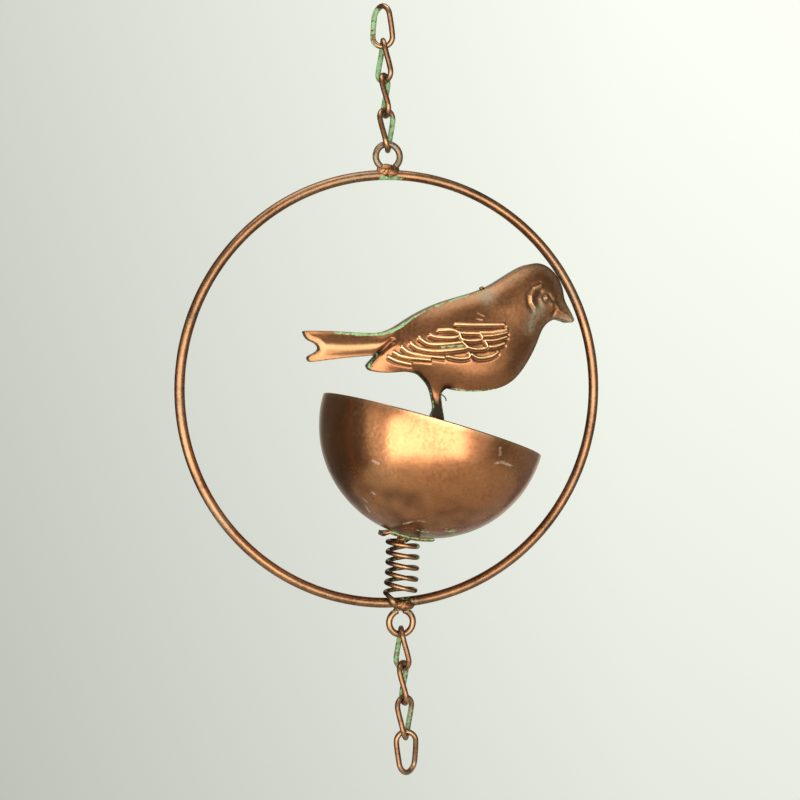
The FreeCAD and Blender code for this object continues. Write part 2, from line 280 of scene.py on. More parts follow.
def heading(angle):
    """Level unit vector at an angle about Z."""
    return np.array([math.cos(math.radians(angle)), math.sin(math.radians(angle)), 0.0])


def smooth(low, high, value):
    """Ease from 0 at low to 1 at high."""
    share = np.clip((value - low) / (high - low), 0.0, 1.0)
    return share * share * (3 - 2 * share)


def unit(vectors):
    """Vectors at length one."""
    return vectors / np.linalg.norm(vectors, axis=-1, keepdims=True)


def leaned(points):
    """Points of the upright hoop, turned about its upper eye as it hangs."""
    return (points - ring_pivot) @ hang_turn.T + ring_pivot


def wave(points, size, seed=0.0):
    """Smooth noise from -1 to 1 with features of about that size."""
    return np.array([noise.noise(Vector(point / size) + Vector((seed, -seed, 2 * seed))) for point in points])


def line_distance(spots, line):
    """Distance of each spot from a line through points."""
    nearest = np.full(len(spots), np.inf)
    for one, two in zip(np.array(line[:-1]), np.array(line[1:])):
        share = np.clip((spots - one) @ (two - one) / ((two - one) @ (two - one)), 0, 1)
        nearest = np.minimum(nearest, np.linalg.norm(spots - one - share[:, None] * (two - one), axis=1))
    return nearest


def hump(distance, width):
    """Rounded crest about a line."""
    return np.exp(-(distance / width) ** 2)


def arc_path(start, tangent, stops, step):
    """Points along arcs, each arc tangent to the one before it."""
    path = [start]
    point = start
    for stop in stops:
        chord = stop - point
        axis = unit(np.cross(tangent, chord))
        along = unit(chord)
        bend = math.acos(np.clip(tangent @ along, -1, 1))
        radius = np.linalg.norm(chord) / (2 * math.sin(bend))
        centre = point + np.cross(axis, tangent) * radius
        arm = point - centre
        count = max(3, math.ceil(2 * bend * radius / step))
        for angle in np.linspace(0, 2 * bend, count + 1)[1:]:
            path.append(centre + arm * math.cos(angle) + np.cross(axis, arm) * math.sin(angle))
        tangent = 2 * (tangent @ along) * along - tangent
        point = stop
    return np.array(path)


def tube(path, radius, sides, closed, swell=1.0):
    """Points and faces of a round wire along a path, slightly uneven, with rounded ends where it is open."""
    radii = radius * (1 + 0.012 * wave(path, 5.0) + 0.006 * wave(path, 1.3, 7.0)) * swell
    if not closed:
        first = unit(path[0] - path[1])
        last = unit(path[-1] - path[-2])
        reach, width = np.array(wire_end_rings).T
        before = path[0] + first * radius * reach[::-1, None]
        after = path[-1] + last * radius * reach[:, None]
        path = np.concatenate([before, path, after])
        radii = np.concatenate([radii[0] * width[::-1], radii, radii[-1] * width])
    count = len(path)
    ahead = np.roll(path, -1, 0)
    behind = np.roll(path, 1, 0)
    if not closed:
        ahead[-1] = path[-1]
        behind[0] = path[0]
    tangents = unit(ahead - behind)
    normal = np.cross(tangents[0], (0.31, 0.57, 0.76))
    normals = []
    for tangent in tangents:
        normal = unit(normal - tangent * (normal @ tangent))
        normals.append(normal)
    normals = np.array(normals)
    twist = np.zeros(count)
    if closed:
        carried = unit(normals[-1] - tangents[0] * (normals[-1] @ tangents[0]))
        left_over = math.atan2(np.cross(carried, normals[0]) @ tangents[0], carried @ normals[0])
        twist = left_over * np.arange(count) / count
    angles = twist[:, None] + np.linspace(0, 2 * math.pi, sides, endpoint=False)
    outward = normals[:, None] * np.cos(angles)[..., None]
    outward = outward + np.cross(tangents, normals)[:, None] * np.sin(angles)[..., None]
    points = path[:, None] + outward * radii[:, None, None]
    faces = grid_faces(count, sides, closed, True)
    if not closed:
        faces += [tuple(range(sides))[::-1], tuple((count - 1) * sides + side for side in range(sides))]
    return points.reshape(-1, 3), faces, outward.reshape(-1, 3)


def grid_faces(rows, columns, wrap_rows, wrap_columns):
    """Quads over a grid of points kept row by row."""
    faces = []
    for row in range(rows if wrap_rows else rows - 1):
        below = (row + 1) % rows
        for column in range(columns if wrap_columns else columns - 1):
            beside = (column + 1) % columns
            faces.append((row * columns + column, row * columns + beside,
                          below * columns + beside, below * columns + column))
    return faces


def piece(node, points, faces, material, body, **masks):
    """Mesh that stands for a node, with its masks as point attributes."""
    mesh = bpy.data.meshes.new(f"{node}_finish")
    mesh.from_pydata((points * MM).tolist(), [], faces)
    for name, values in masks.items():
        layer = mesh.attributes.new(name, "FLOAT", "POINT")
        layer.data.foreach_set("value", np.clip(values, 0, 1).astype(np.float32))
    mesh.materials.append(material)
    mesh.shade_smooth()
    shape = bpy.data.objects.new(f"{node}_finish", mesh)
    bpy.context.scene.collection.objects.link(shape)
    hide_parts(node)
    if body:
        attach(shape, body)
    return shape


# Materials

class Shading:
    """Node tree of a finish or of the room's light, with short calls for the nodes that it needs."""

    def __init__(self, owner, shader="Principled BSDF"):
        owner.use_nodes = True
        self.owner = owner
        self.tree = owner.node_tree
        self.shader = self.tree.nodes[shader]
        self.place = self.tree.nodes.new("ShaderNodeTexCoord").outputs

    def put(self, socket, value):
        if isinstance(value, bpy.types.NodeSocket):
            self.tree.links.new(value, socket)
        else:
            socket.default_value = value

    def noise(self, size, detail=4.0, rough=0.55):
        """Noise with features of about that size in millimetres."""
        node = self.tree.nodes.new("ShaderNodeTexNoise")
        node.inputs["Scale"].default_value = 1 / (size * MM)
        node.inputs["Detail"].default_value = detail
        node.inputs["Roughness"].default_value = rough
        self.put(node.inputs["Vector"], self.place["Object"])
        return node.outputs["Fac"]

    def mask(self, name):
        node = self.tree.nodes.new("ShaderNodeAttribute")
        node.attribute_name = name
        return node.outputs["Fac"]

    def math(self, operation, one, two=0.0, three=0.0):
        node = self.tree.nodes.new("ShaderNodeMath")
        node.operation = operation
        for socket, value in zip(node.inputs, (one, two, three)):
            self.put(socket, value)
        return node.outputs["Value"]

    def span(self, value, low, high, to_low=0.0, to_high=1.0):
        node = self.tree.nodes.new("ShaderNodeMapRange")
        node.interpolation_type = "SMOOTHSTEP"
        for name, setting in (("Value", value), ("From Min", low), ("From Max", high),
                              ("To Min", to_low), ("To Max", to_high)):
            self.put(node.inputs[name], setting)
        return node.outputs["Result"]

    def mix(self, factor, one, two):
        node = self.tree.nodes.new("ShaderNodeMix")
        node.data_type = "RGBA"
        sockets = [socket for socket in node.inputs if socket.type == "RGBA"]
        self.put(node.inputs[0], factor)
        for socket, value in zip(sockets, (one, two)):
            self.put(socket, value if isinstance(value, bpy.types.NodeSocket) else (*value, 1.0))
        return next(socket for socket in node.outputs if socket.type == "RGBA")

    def bump(self, height, strength, distance):
        node = self.tree.nodes.new("ShaderNodeBump")
        node.inputs["Strength"].default_value = strength
        node.inputs["Distance"].default_value = distance * MM
        self.put(node.inputs["Height"], height)
        self.put(self.shader.inputs["Normal"], node.outputs["Normal"])


def antique_copper(name, patch, mottle, grain, roughness, uneven, bump, tones, scuffs=False):
    """Plated copper in patches of tone, sooty or in painted shade, worn or with painted highlight, or dull
    under film and painted sheen where masked, with verdigris over it.
    """
    finish = Shading(bpy.data.materials.new(name))
    patches = finish.noise(patch, 3.0)
    mottles = finish.noise(mottle, 5.0, 0.62)
    grains = finish.noise(grain, 2.0)
    blend = finish.math("MULTIPLY_ADD", patches, 0.55, finish.math("MULTIPLY", mottles, 0.45))
    dark, mid, light = tones
    tone = finish.mix(finish.span(blend, 0.34, 0.50), dark, mid)
    tone = finish.mix(finish.span(blend, 0.50, 0.66), tone, light)
    # The bright mask mixes in rubbed copper, and painted highlight where a piece sets it for light.
    tone = finish.mix(finish.math("MULTIPLY", finish.mask("bright"), 0.9), tone, worn_copper_and_highlight)
    specks = finish.span(grains, 0.58, 0.74, 0.0, 0.22)
    tone = finish.mix(specks, tone, dark)
    # The dark mask mixes in soot, and painted shade where a piece sets it for shade.
    soot_and_shade_share = finish.span(finish.math("MULTIPLY_ADD", mottles, 0.5, finish.mask("dark")), 0.35, 1.05)
    tone = finish.mix(soot_and_shade_share, tone, soot_and_shade_tone)
    rough = finish.math("MULTIPLY_ADD", mottles, uneven, roughness - uneven / 2)
    rough = finish.math("ADD", rough, finish.math("MULTIPLY", soot_and_shade_share, 0.2))
    # The film mask dulls the metal under a pale film, which on the bird's upper back is also painted sheen.
    filmed = finish.math("MULTIPLY", finish.mask("film"), finish.span(mottles, 0.34, 0.60, 0.5, 1.0))
    tone = finish.mix(filmed, tone, film_tone)
    rough = finish.math("MULTIPLY_ADD", filmed, 0.15, rough)
    metal = finish.math("MULTIPLY_ADD", filmed, -0.6, 1.0)
    if scuffs:
        rubbed = finish.math("MULTIPLY", finish.mask("scuff"), finish.span(grains, 0.36, 0.56))
        tone = finish.mix(rubbed, tone, scuff_tone)
        rough = finish.math("MULTIPLY_ADD", rubbed, 0.25, rough)
        metal = finish.math("MULTIPLY_ADD", rubbed, -0.5, metal)
    crust = finish.math("MULTIPLY_ADD", finish.math("SUBTRACT", mottles, 0.5), 1.2, finish.mask("green"))
    crusted = finish.span(crust, 0.32, 0.64)
    green = finish.mix(finish.span(mottles, 0.34, 0.56), verdigris_dull, verdigris_pale)
    tone = finish.mix(crusted, tone, green)
    finish.put(finish.shader.inputs["Base Color"], tone)
    metal = finish.math("MULTIPLY", metal, finish.math("SUBTRACT", 1.0, crusted))
    finish.put(finish.shader.inputs["Metallic"], metal)
    finish.put(finish.shader.inputs["Roughness"], finish.math("MULTIPLY_ADD", crusted, 0.4, rough))
    relief = finish.math("MULTIPLY_ADD", mottles, 0.7, finish.math("MULTIPLY", grains, 0.3))
    relief = finish.math("MULTIPLY_ADD", crusted, 0.25, relief)
    finish.bump(relief, bump, 0.25)
    return finish.owner


finishes = {
    "chain": antique_copper("chain_copper", 6.0, 1.1, 0.28, 0.33, 0.14, 0.12, wire_tones),
    "hoop": antique_copper("hoop_copper", 12.0, 1.2, 0.32, 0.32, 0.12, 0.09, wire_tones),
    "spring": antique_copper("spring_copper", 6.0, 1.1, 0.28, 0.32, 0.16, 0.18, wire_tones),
    "braze": antique_copper("braze_copper", 3.0, 0.9, 0.28, 0.36, 0.20, 0.50, wire_tones),
    "bird": antique_copper("bird_copper", 20.0, 1.0, 0.30, 0.32, 0.12, 0.10, bird_tones),
    "bowl": antique_copper("bowl_copper", 22.0, 1.3, 0.36, 0.25, 0.08, 0.05, bowl_tones, True),
}

# Chain
link_bend = (link_inside_width + link_wire) / 2
link_rise = link_inside_length + link_wire


def link_shape():
    """Angle at which a strand leaves its bend, and how far its middle stands from the link's axis."""
    slope = 0.0
    for _ in range(30):
        run = link_bend * math.radians(link_turn - 2 * slope)
        slope = math.degrees(math.atan(run / (link_rise - 2 * link_bend)))
    lean = math.radians(slope)
    turn = math.radians(link_turn / 2 - slope)
    tangent = np.array([0, math.sin(lean), -math.cos(lean)])
    waist = link_bend
    for _ in range(30):
        chord = np.array([waist * math.cos(turn) - link_bend, waist * math.sin(turn),
                          link_bend - link_rise / 2])
        pull = (chord @ chord) / (2 * tangent @ chord)
        waist = link_bend * math.cos(turn) + math.sin(lean) * math.sin(turn) * pull
    return slope, waist


link_slope, link_waist = link_shape()


def link_piece(node, body, angle, side_y):
    """Twisted link that hangs at side_y, with verdigris on its far strands and in its bends."""
    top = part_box(node)[1].z / MM - link_wire / 2
    high = np.array([0.0, side_y, top])
    low = high - (0, 0, link_rise)
    lift = np.array([0, 0, link_bend])
    stops = []
    for side in (1, -1):
        shoulder = high - lift + heading(angle + link_slope) * (side * link_bend)
        middle = (high + low) / 2 + heading(angle + link_turn / 2) * (side * link_waist)
        knee = low + lift + heading(angle + link_turn - link_slope) * (side * link_bend)
        strand = [shoulder, middle, knee]
        stops += strand + [low] if side == 1 else strand[::-1] + [high]
    path = arc_path(high, heading(angle), stops, wire_step)[:-1]
    points, faces, outward = tube(path, link_wire / 2, link_sides, True)
    inner = -np.sum(unit((points - high) * (1, 1, 0) + 1e-6) * outward, axis=1)
    far = smooth(-0.8, 2.2, points[:, 1] - side_y)
    above = points[:, 2] - (top - link_rise / 2)
    ends = smooth(3.6, 5.6, np.abs(above))
    green = 0.06 + 0.58 * far + 0.12 * smooth(-0.2, 0.9, inner) + 0.20 * smooth(-4.6, -6.8, above)
    green = green * (1.0 if side_y == 0 else 0.72)
    # Painted highlight on the near side of each end, which is also rubbed there; painted shade inside the
    # bends and on the far strands, less of it on the near side.
    worn_and_highlight = 0.20 * ends * smooth(0.1, 0.9, -outward[:, 1])
    soot_and_shade = 0.20 + 0.22 * smooth(0.3, 1.0, inner) + 0.12 * far - 0.16 * smooth(0.3, 1.0, -outward[:, 1])
    piece(node, points, faces, finishes["chain"], body, green=green, dark=soot_and_shade, bright=worn_and_highlight,
          film=0.30 * far + 0.12)


upper_bodies = ("top_link", "second_link", "third_link", "fourth_link")
lower_bodies = ("fifth_link", "sixth_link", "seventh_link", "end_link")
for number in range(4):
    link_piece(f"upper_link_{number + 1}", upper_bodies[number], upper_headings[number], 0.0)
    link_piece(f"lower_link_{number + 1}", lower_bodies[number], lower_headings[number], lower_seat[1])

# Hoop and eyes, upright and then leaned as they hang
eye_bend = (eye_outside - eye_wire) / 2
hoop_bend = (hoop_outside - hoop_wire) / 2
upper_eye_z = ring_pivot[2] - eye_bend
hoop_top = upper_eye_z - upper_eye_rise
hoop_z = hoop_top - hoop_bend
hoop_bottom = hoop_z - hoop_bend
lower_eye_z = hoop_bottom - lower_eye_drop


def hoop_piece():
    """Ring of round wire, with painted highlight on its near side and painted shade on its far side."""
    turn = np.linspace(0, 2 * math.pi, hoop_steps, endpoint=False)
    path = np.stack([hoop_bend * np.sin(turn), 0 * turn, hoop_z + hoop_bend * np.cos(turn)], -1)
    points, faces, outward = tube(path, hoop_wire / 2, hoop_sides, True)
    from_top = np.linalg.norm(points - (0, 0, hoop_top), axis=1)
    from_bottom = np.linalg.norm(points - (0, 0, hoop_bottom), axis=1)
    stain = (points - (0.4, -1.2, hoop_top - hoop_wire / 2)) * (0.6, 1, 1.3)
    under_eye = 1 - smooth(1.2, 3.6, np.linalg.norm(stain, axis=1))
    green = 0.04 + 0.18 * (1 - smooth(2.0, 9.0, from_top)) + 0.34 * (1 - smooth(3.0, 12.0, from_bottom))
    green += 0.08 * smooth(0.4, 1.0, outward[:, 1]) + 0.60 * under_eye
    # Painted shade on the far side and painted highlight on the near side.
    soot_and_shade = 0.10 + 0.15 * smooth(0.0, 1.0, outward[:, 1])
    worn_and_highlight = 0.05 * smooth(0.5, 1.0, -outward[:, 1])
    piece("hoop", leaned(points), faces, finishes["hoop"], "ring", green=green, dark=soot_and_shade, bright=worn_and_highlight,
          film=0.10 + 0.25 * smooth(0.0, 0.5, wave(points, 18.0, 4.0)))


def eye_piece(node, centre_z, toward_hoop, distance):
    """Wire eye, open on the side of the hoop."""
    reach = distance - (hoop_wire + eye_wire) / 2 - eye_gap
    opening = math.acos(min(1.0, reach / eye_bend))
    foot_z = centre_z + toward_hoop * eye_bend * math.cos(opening)
    ends = [np.array([side * eye_bend * math.sin(opening), 0, foot_z]) for side in (-1, 1)]
    start = np.array([-toward_hoop * math.cos(opening), 0, -math.sin(opening)]) * toward_hoop
    far = np.array([0, 0, centre_z - toward_hoop * eye_bend])
    path = arc_path(ends[0], start, [far, ends[1]], wire_step)
    points, faces, outward = tube(path, eye_wire / 2, eye_sides, False)
    near_hoop = smooth(1.0, 5.0, toward_hoop * (points[:, 2] - centre_z))
    green = 0.06 + 0.34 * near_hoop + 0.10 * smooth(0.2, 1.0, outward[:, 1])
    dulled = 1.4 if toward_hoop < 0 else 0.3
    # Painted highlight on the near side, less on the dulled upper eye.
    worn_and_highlight = 0.10 * (1.4 - dulled) * smooth(0.3, 1.0, -outward[:, 1])
    piece(node, leaned(points), faces, finishes["hoop"], "ring", green=green, film=0.4 * dulled + 0 * green,
          dark=0.20 * dulled + 0.2 * near_hoop, bright=worn_and_highlight)


hoop_piece()
eye_piece("upper_eye", upper_eye_z, -1, upper_eye_rise)
eye_piece("lower_eye", lower_eye_z, 1, lower_eye_drop)

# Spring: half turns between tips on the left and right
spring_bend = (spring_outside - spring_wire) / 2
spring_foot_z = hoop_bottom + (hoop_wire + spring_wire) / 2 + spring_stand


def spring_tip(half_turn):
    """Leftmost or rightmost point of the wire, counted in half turns from the foot."""
    share = half_turn / (2 * spring_turns)
    slope = math.atan((spring_lean + 4 * spring_bow * (1 - 2 * share)) / spring_height)
    x = spring_foot_x + spring_lean * share + 4 * spring_bow * share * (1 - share)
    side = 1 if half_turn % 2 else -1
    across = np.array([math.cos(slope), 0, -math.sin(slope)]) * (side * spring_bend)
    return np.array([x, 0, spring_foot_z + spring_height * share]) + across


tips = [spring_tip(half_turn) for half_turn in range(2 * spring_turns, -1, -1)]
tail_reach = (hoop_wire + spring_wire) / 2 + spring_tail_gap
spring_tail = np.array([tips[-1][0] + spring_tail_x, -tail_reach, hoop_bottom])
top_fall = math.radians(spring_top_fall)
top_arc = math.radians(spring_top_arc)
spring_end = tips[0] + np.array([math.cos(top_fall), 0, -math.sin(top_fall)]) * (
    spring_bend * (1 - math.cos(top_arc))) + np.array([0, spring_bend * math.sin(top_arc), 0])


def spring_piece():
    """Coil spring, bending between the hoop and the bowl."""
    down = arc_path(tips[0], np.array([0.0, -1.0, 0.0]), tips[1:] + [spring_tail], wire_step)
    up = arc_path(tips[0], np.array([0.0, 1.0, 0.0]), [spring_end], wire_step)
    path = np.concatenate([up[::-1], down[1:]])
    swell = 1 + spring_tail_swell * smooth(3.4, 1.2, np.linalg.norm(path - spring_tail, axis=1))
    points, faces, outward = tube(path, spring_wire / 2, spring_sides, False, swell)
    far = smooth(0.0, 4.5, points[:, 1])
    high = smooth(0.35, 0.95, (points[:, 2] - spring_foot_z) / spring_height)
    right = smooth(2.2, 5.2, points[:, 0]) * smooth(-5.6, -2.6, points[:, 1])
    left = smooth(-2.6, -5.2, points[:, 0])
    near = smooth(0.4, 1.0, -outward[:, 1])
    green = 0.06 + 0.24 * far + 0.95 * right * (0.30 + 0.70 * high) + 0.10 * smooth(0.4, 1.0, outward[:, 1])
    tail = smooth(1.6, 0.6, np.linalg.norm(points - spring_tail, axis=1))
    # Painted shade on the far coils and painted highlight on the near side.
    spring = piece("spring", leaned(points), faces, finishes["spring"], None, green=green,
                   dark=0.12 + 0.36 * far + 0.40 * left * (1 - tail), bright=0.20 * near + 0.6 * tail)
    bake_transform(spring)


spring_piece()

# Bowl and its strap
lean_slopes = [math.tan(math.radians(angle)) for angle in (bowl_lean_x, bowl_lean_y)]
bowl_axis = Vector((*lean_slopes, 1.0)).normalized()
bowl_turn = np.array(Vector((0, 0, 1)).rotation_difference(bowl_axis).to_matrix())
bowl_pole = np.array([spring_foot_x + spring_lean + bowl_shift, 0, tips[0][2] + bowl_rise])
bowl_centre = bowl_pole + np.array(bowl_axis) * bowl_radius
rim_inside = bowl_radius - bowl_wall


def in_bowl(points):
    """Points of the bowl's own frame, put in place."""
    return leaned(points @ bowl_turn.T + bowl_centre)


def bowl_piece():
    """Spun half ball with a turned lip, green under its pole and scuffed on its sides."""
    lip = bowl_wall / 2
    outer = [(bowl_radius * math.sin(angle), -bowl_radius * math.cos(angle))
             for angle in np.linspace(0, math.pi / 2, bowl_outer_rows)]
    edge = [(rim_inside + lip + lip * math.cos(angle), lip * (math.sin(angle) - 1))
            for angle in np.linspace(0, math.pi, bowl_lip_rows)]
    inner = [(rim_inside * math.sin(angle), -rim_inside * math.cos(angle))
             for angle in np.linspace(math.pi / 2, 0, bowl_inner_rows)]
    profile = np.array([spot for spot in outer if spot[1] < -lip] + edge
                       + [spot for spot in inner if spot[1] < -lip])
    around = np.linspace(0, 2 * math.pi, bowl_turns, endpoint=False)
    points = np.stack([profile[:, :1] * np.cos(around), profile[:, :1] * np.sin(around),
                       profile[:, 1:] + 0 * around], -1).reshape(-1, 3)
    ripple = wave(points, 16.0) + 0.4 * wave(points, 6.0, 3.0)
    points = points * (1 - bowl_ripple / bowl_radius * (1 + ripple)[:, None])
    faces = grid_faces(len(profile), bowl_turns, False, True)
    last_row = (len(profile) - 1) * bowl_turns
    faces += [tuple(range(bowl_turns))[::-1], tuple(range(last_row, last_row + bowl_turns))]
    depth = -points[:, 2]
    radius = np.linalg.norm(points, axis=1)
    within = smooth(bowl_radius - 0.3, bowl_radius - 0.6, radius)
    level = points[:, 2] / bowl_radius
    streaks = smooth(0.05, 0.45, wave(points * (0.3, 1.3, 1.3), 2.2, 5.0))
    washed = np.exp(-(np.linalg.norm((points - bowl_wash) * (0.7, 1, 1), axis=1) / bowl_wash_reach) ** 2)
    green = 0.26 * smooth(0.94, 0.99, -level) + 0.95 * streaks * washed
    green += 0.10 * within * smooth(10.0, 36.0, depth) * streaks
    scuff = sum(hump(line_distance(points, stroke), bowl_scuff_width) for stroke in bowl_scuffs)
    scuff = np.clip(scuff, 0, 1) * (0.85 + 0.30 * wave(points, 2.0, 6.0))
    rim = smooth(-2.2, -0.2, points[:, 2])
    # The outside darkens towards the bottom, in patches, and the inside is darker.
    lowered = smooth(-0.45, -0.68, level) * (1 - within)
    soot_and_shade = 0.22 * within + lowered * (0.33 + 0.20 * wave(points, 5.0, 8.0))
    piece("bowl", in_bowl(points), faces, finishes["bowl"], "cup", green=green, dark=soot_and_shade, bright=0.3 * rim,
          scuff=scuff)


def strap_piece():
    """Strap bent to the bowl's curve, with rolled sides."""
    rows, columns = strap_grid
    x = np.linspace(-strap_left, strap_right, rows)[:, None] + np.zeros(columns)
    y = np.linspace(-strap_width / 2, strap_width / 2, columns) + np.zeros((rows, 1))
    reach = bowl_radius + strap_film
    near_end = np.minimum(x + strap_left, strap_right - x)
    near_side = strap_width / 2 - np.abs(y)
    round_off = strap_thickness * (1 - np.sqrt(smooth(-0.3, 0.9, np.minimum(near_end, near_side))))
    sheets = []
    curl = strap_curl * smooth(3.4 - strap_left, -strap_left, x)
    for radius in (reach + strap_thickness - 0.6 * round_off + 1.3 * curl, reach + 0.8 * curl):
        sheets.append(np.stack([x, y, -np.sqrt(radius ** 2 - x ** 2 - y ** 2)], -1).reshape(-1, 3))
    count = rows * columns
    faces = grid_faces(rows, columns, False, False)
    faces = [face[::-1] for face in faces] + [tuple(count + spot for spot in face) for face in faces]
    border = [row * columns for row in range(rows)]
    border += [(rows - 1) * columns + column for column in range(1, columns)]
    border += [row * columns + columns - 1 for row in range(rows - 2, -1, -1)]
    border += list(range(columns - 2, 0, -1))
    for one, two in zip(border, border[1:] + border[:1]):
        faces.append((one, two, count + two, count + one))
    points = np.concatenate(sheets)
    edge = 1 - smooth(0.3, 1.6, np.minimum(near_end, near_side)).reshape(-1)
    edge = np.concatenate([edge, edge])
    left_end = smooth(2.6 - strap_left, -strap_left, points[:, 0])
    piece("spring_seat", in_bowl(points), faces, finishes["bowl"], "cup",
          green=(0.20 + 0.30 * edge) * (1 - 0.7 * left_end), dark=0.25 * edge + 0.25 * left_end)


bowl_piece()
strap_piece()


# Braze

def lump_piece(node, body, centre, sizes, seed, ripple=lump_ripple, within_bowl=False):
    """Uneven lump of braze, long along X, with verdigris round its foot."""
    rows, columns = lump_grid
    across = np.linspace(0, math.pi, rows)[:, None]
    around = np.linspace(0, 2 * math.pi, columns, endpoint=False)
    half_length, half_height = sizes
    ring = half_height * np.sin(across)
    along = half_length * np.cos(across) + 0 * around
    points = np.stack([along, ring * np.cos(around), ring * np.sin(around)], -1).reshape(-1, 3)
    bumps = wave(points, 0.8 * half_height, seed) + 0.5 * wave(points, 0.35 * half_height, seed + 3)
    points = points * (1 - 0.5 * ripple * (1 - bumps))[:, None]
    faces = grid_faces(rows, columns, False, True)
    green = 0.10 + 0.30 * smooth(0.0, 0.8, -bumps) + 0.12 * smooth(0.0, 1.0, points[:, 1] / half_height)
    green += 0.34 * smooth(-0.3, -0.8, points[:, 2] / half_height)
    placed = points + centre
    if within_bowl:
        spots = (placed - bowl_centre) @ bowl_turn
        spots[:, 2] = np.minimum(spots[:, 2], -0.05)
        spots *= np.minimum(1.0, rim_inside / np.linalg.norm(spots, axis=1))[:, None]
        placed = spots @ bowl_turn.T + bowl_centre
    piece(node, leaned(placed), faces, finishes["braze"], body, green=green,
          dark=0.3 * smooth(0.1, 0.9, -bumps), bright=0.45 * smooth(0.2, 0.9, bumps))


foot_spot = heading(foot_heading) * rim_inside @ bowl_turn.T + bowl_centre
heel_width = max(-leg_back_points[-1][0], leg_front_points[0][0])
wall_setback = heel_width * abs(math.tan(math.radians(foot_heading - 270)))
bird_plane = foot_spot[1] + wall_setback + leg_depth + foot_gap
bird_place = np.array([foot_spot[0], bird_plane, foot_spot[2] + foot_rise])

lump_piece("upper_braze", "ring", (0, 0, hoop_top + hoop_wire / 3), upper_lump, 1.0, rough_ripple)
lump_piece("lower_braze", "ring", (spring_wire / 2, -spring_wire / 4, hoop_bottom - hoop_wire / 4),
           lower_lump, 2.0, rough_ripple)
lump_piece("seat_braze", "cup", spring_end + (0, 0, spring_wire / 2), seat_lump, 3.0)
lump_piece("foot_braze", "cup", foot_spot - (0, 0, foot_depth / 2), foot_lump, 4.0, within_bowl=True)
lump_piece("seam_tack", "cup", bird_place + (seam_tack_at[0], 0, seam_tack_at[1]), seam_lump, 5.0)


# Songbird

def spline(points, step):
    """Smooth curve through points, at even steps."""
    points = np.array(points)
    spans = np.linalg.norm(np.diff(points, axis=0), axis=1)
    knots = np.concatenate([[0], np.cumsum(spans)])
    count = len(points)
    system = np.eye(count)
    right = np.zeros((count, points.shape[1]))
    slopes = np.diff(points, axis=0) / spans[:, None]
    for row in range(1, count - 1):
        system[row, row - 1:row + 2] = spans[row - 1], 2 * (spans[row - 1] + spans[row]), spans[row]
        right[row] = 6 * (slopes[row] - slopes[row - 1])
    curvature = np.linalg.solve(system, right)
    along = np.linspace(0, knots[-1], math.ceil(knots[-1] / step) + 1)
    piece_of = np.clip(np.searchsorted(knots, along) - 1, 0, count - 2)
    span = spans[piece_of][:, None]
    two = (along[:, None] - knots[piece_of][:, None]) / span
    one = 1 - two
    bend = (one ** 3 - one) * curvature[piece_of] + (two ** 3 - two) * curvature[piece_of + 1]
    return one * points[piece_of] + two * points[piece_of + 1] + bend * span ** 2 / 6


def straight(points, step):
    """Even steps along straight lines through points."""
    points = np.array(points, float)
    path = [points[0]]
    for one, two in zip(points, points[1:]):
        count = max(1, math.ceil(np.linalg.norm(two - one) / step))
        path += [one + (two - one) * share for share in np.linspace(0, 1, count + 1)[1:]]
    return np.array(path)


def inside(spots, outline):
    """Which spots lie inside a closed outline."""
    hits = np.zeros(len(spots), bool)
    for (ax, az), (bx, bz) in zip(outline, np.roll(outline, -1, 0)):
        if az != bz:
            crossing = (spots[:, 1] > az) != (spots[:, 1] > bz)
            hits ^= crossing & (spots[:, 0] < ax + (spots[:, 1] - az) * (bx - ax) / (bz - az))
    return hits


def rounded(points):
    """Line through points with its corners cut twice."""
    points = np.array(points, float)
    for _ in range(2):
        early = 0.75 * points[:-1] + 0.25 * points[1:]
        late = 0.25 * points[:-1] + 0.75 * points[1:]
        points = np.concatenate([points[:1], np.stack([early, late], 1).reshape(-1, 2), points[-1:]])
    return points


def under_outline():
    """Lower outline from the wing's tip to the beak, with the leg let into it."""
    under = spline(under_points, bird_step)
    back = spline(leg_back_points, bird_step)
    back = back[back[:, 1] < np.interp(back[:, 0], *under.T)]
    front = spline(leg_front_points, bird_step)
    front = front[front[:, 1] < np.interp(front[:, 0], *under.T)]
    heel, toe = back[-1], front[0]
    sole = straight([heel, heel - (0, foot_depth), toe - (0, foot_depth), toe], bird_step)[1:-1]
    return np.concatenate([under[under[:, 0] < back[0, 0] - bird_step / 2], back, sole, front,
                           under[under[:, 0] > front[-1, 0] + bird_step / 2]])


back_line = spline(back_points, bird_step)
bird_outline = np.concatenate([
    back_line[:-1], spline(tail_fork_points, bird_step)[:-1], spline(tail_under_points, bird_step)[:-1],
    straight([tail_under_points[-1], wing_tip, under_points[0]], bird_step)[:-1],
    under_outline()[:-1],
    straight([under_points[-1], back_points[0]], bird_step)[:-1]])
for _ in range(outline_easing):
    bird_outline = (np.roll(bird_outline, 1, 0) + 2 * bird_outline + np.roll(bird_outline, -1, 0)) / 4
bird_rim = np.concatenate([bird_outline, bird_outline[:1]])


